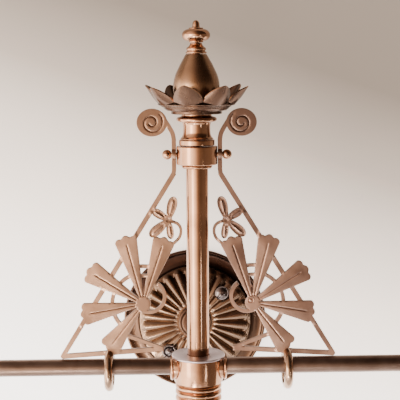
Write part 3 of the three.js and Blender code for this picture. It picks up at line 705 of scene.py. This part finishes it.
def union_loops(outlines):
    """Outer and inner boundary loops of the union of the outlines."""
    points, faces = [], []
    for outline in outlines:
        outline = [Vector(p) for p in outline]
        if loop_area(outline) < 0:
            outline.reverse()
        faces.append(list(range(len(points), len(points) + len(outline))))
        points += outline
    verts, _, tris, _, _, owners = delaunay_2d_cdt(points, [], faces, 0, 1e-5, True)
    following = {}
    for a, b in open_edges(tri for tri, owner in zip(tris, owners) if owner):
        following.setdefault(a, []).append(b)
    loops = []
    while following:
        start = next(iter(following))
        loop, here = [], start
        while here in following:
            ahead = following[here].pop()
            if not following[here]:
                del following[here]
            loop.append(verts[here])
            here = ahead
        loops.append(loop)
    return [loop for loop in loops if abs(loop_area(loop)) > 0.05]


def evened(loop, step):
    """The loop with close points merged and long edges divided."""
    kept = [loop[0]]
    for p in loop[1:]:
        if (p - kept[-1]).length > step * 0.3:
            kept.append(p)
    if (kept[0] - kept[-1]).length <= step * 0.3:
        kept.pop()
    out = []
    for a, b in zip(kept, kept[1:] + kept[:1]):
        n = max(1, round((b - a).length / step))
        out += [a + (b - a) * i / n for i in range(n)]
    return out


def inside(points, loops):
    """Which points lie inside the loops, by the even-odd rule."""
    hit = np.zeros(len(points), bool)
    x, y = points[:, 0], points[:, 1]
    for loop in loops:
        for a, b in zip(loop, loop[1:] + loop[:1]):
            if a.y != b.y:
                crosses = (a.y > y) != (b.y > y)
                hit ^= crosses & (x < (b.x - a.x) * (y - a.y) / (b.y - a.y) + a.x)
    return hit


def edge_distance(points, loops):
    """Distance from each point to the nearest edge of the loops."""
    best = np.full(len(points), 1e9)
    for loop in loops:
        for a, b in zip(loop, loop[1:] + loop[:1]):
            d = np.array(b - a)
            offset = points - np.array(a)
            t = np.clip((offset @ d) / max(d @ d, 1e-12), 0, 1)
            best = np.minimum(best, np.linalg.norm(offset - t[:, None] * d, axis=1))
    return best


def spiral(turns=1.55, steps=60):
    """Engraved line of the volute, from the middle out to where the strap joins."""
    out = []
    for i in range(steps + 1):
        s = i / steps
        angle = math.radians(-40) - (1 - s) * turns * 2 * math.pi
        radius = 2.3 + 6.4 * s ** 1.3
        out.append(Vector((VOLUTE[0] + radius * math.sin(angle), VOLUTE[1] + radius * math.cos(angle))))
    return out


def polyline_distance(points, line):
    return np.min([edge_distance(points, [pair]) for pair in zip(line, line[1:])], axis=0)


def panel_relief(points, groove_line):
    """Height of the front face above the plate's plane: folded petals, veined leaves, hub, spiral."""
    height = np.zeros(len(points))
    offset = points - np.array(HUB)
    from_hub = np.linalg.norm(offset, axis=1)
    for turn, length, half in PALMETTE:
        sin, cos = math.sin(math.radians(turn)), math.cos(math.radians(turn))
        u = offset @ np.array([sin, cos])
        v = offset @ np.array([cos, -sin])
        width = 1.3 + (half - 1.3) * np.clip((u - 3) / (length - 6), 0, 1)
        t = np.clip(np.abs(v) / width, 0, 1)
        inner = (u > 3) & (u < length + 2) & (np.abs(v) < width * 1.05)
        fade = np.clip((length - 4 - u) / 6, 0, 1)
        fold = 0.75 - 0.5 * t * np.clip(width / half, 0.3, 1) * fade - 0.35 * (1 - fade)
        crease = -0.5 * np.exp(-(v / CREASE_WIDTH) ** 2) * np.clip((length - 6 - u) / 2, 0, 1)
        height = np.where(inner, fold + crease, height)
    for tip, width in LEAVES:
        base, end = np.array(SPRIG), np.array(tip)
        length = np.linalg.norm(end - base)
        along = (end - base) / length
        q = points - base
        u, v = q @ along, q @ np.array([-along[1], along[0]])
        near = (u > 1.5) & (u < length + 0.5) & (np.abs(v) < width / 2 + 0.6)
        spot = ((u - length * 0.6) / (length * 0.36)) ** 2 + (v / (width * 0.36)) ** 2
        body = 0.45 - 0.4 * np.exp(-((spot - 0.75) / 0.3) ** 2)
        ends = np.clip((length * 0.86 - u) / 2, 0, 1) * np.clip((u - 3) / 2, 0, 1)
        vein = 0.45 * np.exp(-(v / GROOVE_WIDTH) ** 2) * ends
        height = np.where(near, body + vein, height)
    height = np.where(from_hub < HUB_R, 0.9, height)
    near_volute = np.linalg.norm(points - np.array(VOLUTE), axis=1) < 13
    groove = np.zeros(len(points))
    off_line = polyline_distance(points[near_volute], groove_line)
    groove[near_volute] = -0.55 * np.exp(-(off_line / GROOVE_WIDTH) ** 2)
    return height + groove


def fine_points(loops):
    """Interior points of the panel's skin: an even grid, with closer rows along the engraved lines."""
    row_step, clearance = 0.866, 0.5
    grid = [(x, z) for i, z in enumerate(np.arange(6, 196, row_step))
            for x in np.arange(10 + (i % 2) / 2, 106, 1)]
    lines = []
    for turn, length, _ in PALMETTE:
        for v in (-0.6, -CREASE_WIDTH, 0, CREASE_WIDTH, 0.6):
            lines += [on_petal(turn, u, v) for u in np.arange(6.2, length - 2, 0.7)]
    for tip, _ in LEAVES:
        base, along, across = leaf_frame(tip)
        end = (Vector(tip) - base).length - 0.5
        for v in (-0.6, -0.28, 0, 0.28, 0.6):
            lines += [tuple(base + along * u + across * v) for u in np.arange(1.8, end, 0.6)]
    line = spiral()
    for a, b in zip(line, line[1:]):
        normal = Vector((-(b - a).y, (b - a).x)).normalized()
        lines += [tuple(a + normal * v) for v in (-0.7, -0.3, 0, 0.3, 0.7)]
    for r in (HUB_R - 0.5, HUB_R - 0.05, HUB_R + 0.3):
        lines += circle(HUB, r, steps=56)
    lines = np.array(lines)
    grid = np.array(grid)
    keep = np.ones(len(grid), bool)
    for start in range(0, len(lines), 400):
        part = lines[start:start + 400]
        keep &= np.min(np.linalg.norm(grid[:, None] - part[None], axis=2), axis=1) > clearance
    points = np.vstack([grid[keep], lines])
    points = points[inside(points, loops)]
    return points[edge_distance(points, loops) > 0.62]


def loop_edges(loops):
    """Index pairs that join up each loop in one list of all their points."""
    edges, start = [], 0
    for loop in loops:
        n = len(loop)
        edges += [(start + i, start + (i + 1) % n) for i in range(n)]
        start += n
    return edges


def bevel_points(loops, bevel):
    """Points a bevel's width inside the loops, where the bevel meets the face."""
    inset = []
    for loop in loops:
        for i, point in enumerate(loop):
            tangent = loop[(i + 1) % len(loop)] - loop[i - 1]
            inset.append(tuple(point + Vector((-tangent.y, tangent.x)).normalized() * bevel))
    inset = np.array(inset)
    inset = inset[inside(inset, loops)]
    return inset[edge_distance(inset, loops) > bevel * 0.8]


def panel_skin():
    """Points and triangles of the +X panel, and how far its front and back stand at each point."""
    thick, bevel, highest = 2.6, 0.24, 1.2
    loops = [evened(loop, 0.9) for loop in union_loops(panel_outlines())]
    points = [p for loop in loops for p in loop]
    points += [Vector(p) for p in (*fine_points(loops), *bevel_points(loops, bevel))]
    verts, _, tris, *_ = delaunay_2d_cdt(points, loop_edges(loops), [], 0, 1e-5, False)
    flat = np.array([tuple(v) for v in verts])
    centres = np.array([np.mean([flat[i] for i in tri], axis=0) for tri in tris])
    kept = [tri for tri, ok in zip(tris, inside(centres, loops)) if ok]
    distance = edge_distance(flat, loops)
    relief = panel_relief(flat, spiral()) * np.clip(0.55 + distance / 0.7, 0, 1)
    drop = bevel * (distance < bevel * 0.5)
    front = np.minimum(thick / 2 + relief - drop, thick / 2 + highest)
    back = thick / 2 - drop + 0.25 * relief
    return flat, kept, front, back


def panels():
    """Both panels from one skin, each with the eye that its screw passes through."""
    flat, tris, front, back = panel_skin()
    for side, sign in SIDES.items():
        bm = bmesh.new()
        near = [bm.verts.new((sign * x, AXIS_Y - h, z)) for (x, z), h in zip(flat, front)]
        far = [bm.verts.new((sign * x, AXIS_Y + h, z)) for (x, z), h in zip(flat, back)]
        for a, b, c in tris:
            bm.faces.new((near[a], near[b], near[c]))
            bm.faces.new((far[c], far[b], far[a]))
        # The edge faces take the dark edge brass: painted shade along the panel's edges.
        for i, j in open_edges(tris):
            bm.faces.new((near[j], near[i], far[i], far[j])).material_index = 1
        loose = [v for v in bm.verts if not v.link_faces]
        bmesh.ops.delete(bm, geom=loose, context="VERTS")
        panel = object_from(bm, f"panel_{side}_skin", 38)
        # The right panel takes the darker copy of the satin brass: painted shade.
        metal = SATIN if side == "left" else SATIN_SHADED_RIGHT
        place(panel, f"panel_{side}", "satin_brass", metal, EDGE_SHADE)
        if side == "right":
            rivet()
        outline = [(4.0, 15.3), (4.2, 15.6), (4.2, 18.3), (4.0, 18.6)]
        centre = Vector((0, AXIS_Y, middle(f"ball_screw_{side}").z))
        eye = turned(f"panel_{side}_eye", outline, centre, OUTWARD[side], bore=1.9, edge=0.25, segments=48)
        place(eye, f"panel_{side}", "satin_brass", metal)


def rivet():
    """Small ringed rivet beside the middle of the right palmette's hub."""
    centre = Vector((HUB[0] - 1.6, AXIS_Y, HUB[1] + 2.2))
    outline = [(2.9, 1.9), *arc(2.5, 2.35, 0.45, 0.45, -40, 160, 8), (1.7, 2.0),
               *arc(0, 2.0, 1.5, 1.0, 5, 88, 10), (0.001, 3.0)]
    # The rivet takes the right panel's darker satin brass: painted shade.
    place(turned("panel_right_rivet", outline, centre, "-y", edge=0.08, segments=48), "panel_right",
          "satin_brass", SATIN_SHADED_RIGHT)


def panel_rings():
    """Round rings that hang each panel on its arm."""
    for side in SIDES:
        node = f"panel_ring_{side}"
        low, high = box_mm(node)
        minor = half_width(node)
        major = (high.y - low.y) / 2 - minor
        centre = Vector((middle(node).x, AXIS_Y, low.z + major + minor))
        profile = arc(major, 0, minor, minor, 0, 360, 28)[:-1]
        bm = bmesh.new()
        revolve(bm, profile, centre, "x", 96, True)
        place(object_from(bm, f"{node}_skin"), node, "polished_brass", CLIP)


def ball_screws():
    """Ball-headed screws through the panels' straps."""
    for side, axis in OUTWARD.items():
        node = f"ball_screw_{side}"
        inner, outer = reach(node)
        radius, neck = 3.7, 18.9
        ball = outer - radius
        outline = [(1.6, inner), (1.6, neck), (2.5, neck), (2.5, neck + 0.5), (2.1, neck + 0.6),
                   *arc(0, ball, radius, radius, -46, 88, 22), (0.001, outer)]
        centre = Vector((0, AXIS_Y, middle(node).z))
        skin(node, outline, centre, axis, edge=0.12, segments=64)


# ---- arms and their ends ----
def arms():
    """Level tubes, and the rounded collars where they enter the boss."""
    for side, axis in OUTWARD.items():
        low, high = box_mm(f"arm_{side}")
        inner, outer = reach(f"arm_{side}")
        radius = (high.z - low.z) / 2
        outline = [(radius, inner), (radius, outer)]
        skin(f"arm_{side}", outline, ARM_LINE, axis, "dark_brass", TUBE, bore=radius - 1.1)

        low, high = box_mm(f"side_collar_{side}")
        start, end = reach(f"side_collar_{side}")
        collar_r, halfway = -low.z, (start + end) / 2
        outline = [(collar_r - 0.6, start), *arc(collar_r - 2, halfway, 2, halfway - start, -60, 70, 10),
                   (7.4, end)]
        bm = bmesh.new()
        loop = [(radius + 0.3, start), *outline, (radius + 0.3, end)]
        revolve(bm, rounded(loop, 0.15, True), ARM_LINE, axis, 96, True)
        trim_above(bm, high.z - 0.05)
        polished(object_from(bm, f"side_collar_{side}_skin"), f"side_collar_{side}")


def tap(side, sign):
    """Tap on the arm: barrel, cross boss, and a key with a plug and a thumb piece."""
    start, end = reach(f"tap_body_{side}")
    mid = (start + end) / 2
    half = [(8.0, start), (8.4, start + 0.4), (8.4, start + 2.6), (7.6, start + 3.2), (6.9, start + 3.6),
            (6.8, start + 4.2), (7.6, start + 5.6), (8.7, start + 8), (9.2, mid - 0.6)]
    outline = half + [(r, 2 * mid - x) for r, x in reversed(half)]
    barrel = turned(f"tap_body_{side}_barrel", outline, ARM_LINE, OUTWARD[side], edge=0.2)
    polished(barrel, f"tap_body_{side}")
    plug_axis = Vector((sign * mid, 0, ARM_Z))
    near, far = -AXIS_Y + 12, -AXIS_Y - 12
    boss = turned(f"tap_body_{side}_boss", [(6.3, far), (6.6, far + 0.4), (6.6, near - 0.4), (6.3, near)],
                  plug_axis, "-y", bore=4.1, edge=0.3)
    polished(boss, f"tap_body_{side}")

    outline = [(5.3, far - 2), (5.6, far - 1.7), (5.6, far - 0.3), (3.8, far - 0.3), (3.8, near + 0.3),
               (5.2, near + 0.3), (5.2, near + 1.4), (4.2, near + 2.0), (3.1, near + 2.6), (2.6, near + 4),
               (2.5, near + 6.6)]
    plug = turned(f"tap_key_{side}_plug", outline, plug_axis, "-y", edge=0.25, segments=64)
    polished(plug, f"tap_key_{side}")
    thumb = thumb_piece(f"tap_key_{side}_thumb", Vector((sign * mid, -(near + 9.6), ARM_Z)))
    polished(thumb, f"tap_key_{side}")


def thumb_piece(name, centre):
    """Flat bow-shaped plate with a waist across its middle and a rounded rim."""
    bm = bmesh.new()
    steps, rows, length, breadth, thick = 64, 10, 10.5, 4.2, 2.6
    for row in range(rows + 1):
        swell = math.sin(math.pi * row / rows)
        for i in range(steps):
            t = 2 * math.pi * i / steps
            waist = 1 - 0.22 * math.exp(-(math.cos(t) / 0.35) ** 2)
            edge = 0.86 + 0.14 * swell ** 0.5
            bm.verts.new(centre + Vector((length * math.cos(t) * edge, breadth * math.sin(t) * waist * edge,
                                          thick * row / rows - thick / 2)))
    bm.verts.ensure_lookup_table()
    for row in range(rows):
        for i in range(steps):
            a, b = row * steps + i, row * steps + (i + 1) % steps
            bm.faces.new([bm.verts[k] for k in (a, b, b + steps, a + steps)])
    bm.faces.new(bm.verts[:steps])
    bm.faces.new(bm.verts[rows * steps:])
    return object_from(bm, name, 40)


def elbow(side, sign):
    """Pipe that bends from the arm up to the gallery: path points are (x, z) and a direction."""
    low, high = box_mm(f"elbow_{side}")
    inner, outer = reach(f"elbow_{side}")
    radius, straight, steps = -low.z, 1.2, 16
    top, centre_x = high.z, outer - radius
    path = [(inner, 0, 1, 0), (inner + straight, 0, 1, 0)]
    rise, bend = top - 1.0, centre_x - inner - straight
    for i in range(1, steps + 1):
        sin, cos = math.sin(math.pi / 2 * i / steps), math.cos(math.pi / 2 * i / steps)
        path.append((inner + straight + bend * sin, rise * (1 - cos), cos, sin))
    path.append((centre_x, top, 0, 1))
    bm = bmesh.new()
    segments, rings = 48, []
    for x, z, dx, dz in path:
        rings.append([bm.verts.new((sign * (x - dz * radius * math.cos(a)), AXIS_Y + radius * math.sin(a),
                                    ARM_Z + z + dx * radius * math.cos(a)))
                      for a in (2 * math.pi * i / segments for i in range(segments))])
    for one, two in zip(rings, rings[1:]):
        for i in range(segments):
            bm.faces.new((one[i], one[(i + 1) % segments], two[(i + 1) % segments], two[i]))
    bm.faces.new(rings[0])
    bm.faces.new(rings[-1])
    place(object_from(bm, f"elbow_{side}_skin", 50), f"elbow_{side}", "satin_brass", SATIN)


def gallery(side):
    """Dished shade gallery on the elbow, with the burner in its middle."""
    low, high = box_mm(f"gallery_{side}")
    centre = Vector((middle(f"gallery_{side}").x, AXIS_Y, 0))
    radius, top = half_width(f"gallery_{side}"), high.z - low.z
    outline = [(8.8, 0), (9.2, 0.4), (9.2, 2.6), (8.3, 3.4), (7.6, 4.4), (9.4, 5.2), (12, 6), (22, 7.1),
               (radius - 2.2, 8.6), (radius - 1.4, 9.4), (radius - 0.5, 11.6), (radius, top - 0.3),
               (radius - 0.4, top), (radius - 1.2, top - 0.2), (radius - 1.8, 11.6), (radius - 2.8, 10),
               (24.4, 8.2), (11.4, 8.2)]
    outline = [(r, low.z + h) for r, h in outline]
    skin(f"gallery_{side}", outline, centre, edge=0.25, segments=128)
    z = box_mm(f"burner_{side}")[0].z
    outline = [(r, z + h) for r, h in (
        (7.0, 0), (7.2, 0.3), (7.2, 3), (6.4, 3.9), (5.1, 4.6), (5, 9), (5.6, 9.6), (6, 10.2), (6, 11.8),
        (5.4, 12.4), (4.2, 13), (3.9, 24), (3.5, 25.2), (2.8, 26))]
    skin(f"burner_{side}", outline, centre, "z", "dark_iron", IRON, edge=0.25, segments=64)


wall_rosette()
plain_plate_parts()
wall_screws()
tee()
pendant()
column_rings()
petal_cup()
panels()
panel_rings()
ball_screws()
arms()
for name, direction in SIDES.items():
    tap(name, direction)
    elbow(name, direction)
    gallery(name)


# ---- backdrop, light and camera ----
def plain(name, colour, glow):
    """Matt paint with painted light: it glows softly, painted shade darkens it to the right and upwards,
    and it is clear from behind.
    """
    material = bpy.data.materials.new(name)
    material.use_nodes = True
    nodes, links = material.node_tree.nodes, material.node_tree.links
    shader = nodes["Principled BSDF"]
    shader.inputs["Roughness"].default_value = 0.9
    coordinates = nodes.new("ShaderNodeTexCoord").outputs["Object"]
    position = split(nodes, links, coordinates)
    tilted = nodes.new("ShaderNodeMath")
    tilted.operation = "MULTIPLY_ADD"
    tilted.inputs[1].default_value = 0.35
    links.new(position["X"], tilted.inputs[0])
    links.new(position["Z"], tilted.inputs[2])
    height = span(nodes, links, tilted.outputs["Value"], 0, 1, -0.12, 0.26)
    # Painted shade: the colour darkens to the right and upwards.
    fades = ((0.0, (1, 1, 1)), (0.45, (0.70, 0.63, 0.57)), (0.80, (0.25, 0.213, 0.183)),
             (1.0, (0.12, 0.099, 0.082)))
    tone = ramp(nodes, [(stop, tuple(c * f for c, f in zip(colour, fade))) for stop, fade in fades])
    links.new(height, tone.inputs["Fac"])
    links.new(tone.outputs["Color"], shader.inputs["Base Color"])
    # Painted light: the paint glows in its own colour.
    links.new(tone.outputs["Color"], shader.inputs["Emission Color"])
    shader.inputs["Emission Strength"].default_value = glow
    clear = nodes.new("ShaderNodeBsdfTransparent")
    back = nodes.new("ShaderNodeNewGeometry")
    choice = nodes.new("ShaderNodeMixShader")
    links.new(back.outputs["Backfacing"], choice.inputs["Fac"])
    links.new(shader.outputs["BSDF"], choice.inputs[1])
    links.new(clear.outputs["BSDF"], choice.inputs[2])
    links.new(choice.outputs["Shader"], nodes["Material Output"].inputs["Surface"])
    return material


def staged(bm, name, paint):
    """Puts a bmesh in metres on the stage, in one paint."""
    thing = mesh_object(bm, name)
    thing.data.materials.append(paint)


def backdrop():
    """Pale wall, with a hole that the plate covers, and a pale floor far below."""
    bm = bmesh.new()
    half, hole, stands_off, steps = 2.4, 0.055, 0.0006, 48
    outer, inner = [[bm.verts.new((r * math.cos(t), stands_off, r * math.sin(t)))
                     for t in (2 * math.pi * i / steps for i in range(steps))] for r in (half, hole)]
    for i in range(steps):
        j = (i + 1) % steps
        bm.faces.new((outer[i], outer[j], inner[j], inner[i]))
    for face in bm.faces:
        face.normal_update()
        if face.normal.y > 0:
            face.normal_flip()
    # The wall glows at strength 3 and darkens upwards and to the right: painted light and shade on the
    # backdrop.
    staged(bm, "wall", plain("wall_painted_light", (0.93, 0.92, 0.91), 3.0))

    bm = bmesh.new()
    half, depth, level = 2.2, -3.4, -1.75
    corners = ((-half, depth), (half, depth), (half, 0), (-half, 0))
    bm.faces.new([bm.verts.new((x, y, level)) for x, y in corners])
    staged(bm, "floor", plain("floor_paint", (0.86, 0.84, 0.82), 0.5))


def area_light(name, place_at, target, size, energy, colour):
    light = bpy.data.lights.new(name, "AREA")
    light.shape = "RECTANGLE"
    light.size, light.size_y = size
    light.energy = energy
    light.color = colour
    lamp = bpy.data.objects.new(name, light)
    lamp.location = place_at
    lamp.rotation_mode = "QUATERNION"
    lamp.rotation_quaternion = (Vector(target) - Vector(place_at)).to_track_quat("-Z", "Y")
    bpy.context.scene.collection.objects.link(lamp)


def room():
    """World that is bright to the left and low down and dark above and to the right, and lamps."""
    world = bpy.data.worlds.new("room")
    bpy.context.scene.world = world
    world.use_nodes = True
    nodes, links = world.node_tree.nodes, world.node_tree.links
    background = nodes["Background"]
    coordinates = nodes.new("ShaderNodeTexCoord").outputs["Generated"]
    direction = split(nodes, links, coordinates)
    level = ramp(nodes, [(0.0, (0.50, 0.46, 0.43)), (0.34, (0.62, 0.56, 0.50)), (0.46, (0.60, 0.52, 0.45)),
                         (0.55, (0.64, 0.55, 0.46)), (0.63, (0.16, 0.125, 0.105)),
                         (1.0, (0.10, 0.085, 0.08))])
    across = ramp(nodes, [(0.0, (8.0, 7.6, 7.1)), (0.10, (12.0, 11.3, 10.4)), (0.24, (9.5, 8.8, 7.9)),
                          (0.36, (5.6, 4.9, 4.2)), (0.46, (2.8, 2.3, 1.95)), (0.54, (1.25, 1.0, 0.85)),
                          (0.64, (0.66, 0.51, 0.42)), (0.80, (0.40, 0.31, 0.25)), (1.0, (0.6, 0.50, 0.44))])
    links.new(span(nodes, links, direction["Z"], 0, 1, -1, 1), level.inputs["Fac"])
    links.new(span(nodes, links, direction["X"], 0, 1, -1, 1), across.inputs["Fac"])
    tone = mixed(nodes, links, level.outputs["Color"], across.outputs["Color"], blend="MULTIPLY")
    tone.inputs["Factor"].default_value = 1.0
    links.new(tone.outputs["Result"], background.inputs["Color"])
    background.inputs["Strength"].default_value = 1.0
    area_light("window_left", (-1.9, -1.9, -0.15), (0, -0.1, 0.1), (0.8, 1.5), 19, (1.0, 0.94, 0.86))
    area_light("window_right", (1.35, -2.1, -0.70), (0, -0.1, 0.1), (0.12, 0.6), 3.2, (1.0, 0.95, 0.90))
    area_light("lamp_low", (-0.42, -1.15, -0.72), (0, -0.145, 0.2), (0.26, 0.26), 7, (1.0, 0.90, 0.76))
    area_light("floor_bounce", (-0.6, -1.5, -1.6), (0, 0, 0), (2.4, 1.2), 20, (1.0, 0.96, 0.92))


def camera():
    """Level with the finial, just left of the column, looking slightly down."""
    data = bpy.data.cameras.new("camera")
    eye = bpy.data.objects.new("camera", data)
    bpy.context.scene.collection.objects.link(eye)
    bpy.context.scene.camera = eye
    data.sensor_width = 36
    data.lens = 88.2
    pitch, yaw, roll = (math.radians(a) for a in (7.44, 1.28, 0.4))
    forward = Vector((math.sin(yaw) * math.cos(pitch), math.cos(yaw) * math.cos(pitch), -math.sin(pitch)))
    right = forward.cross(Vector((0, 0, 1))).normalized()
    up = right.cross(forward)
    tilt_right = right * math.cos(roll) - up * math.sin(roll)
    tilt_up = right * math.sin(roll) + up * math.cos(roll)
    turn = Matrix((tilt_right, tilt_up, -forward)).transposed()
    stand = (-0.014, AXIS_Y * MM - 0.718, 0.220)
    eye.matrix_world = Matrix.Translation(stand) @ turn.to_4x4()


backdrop()
room()
camera()
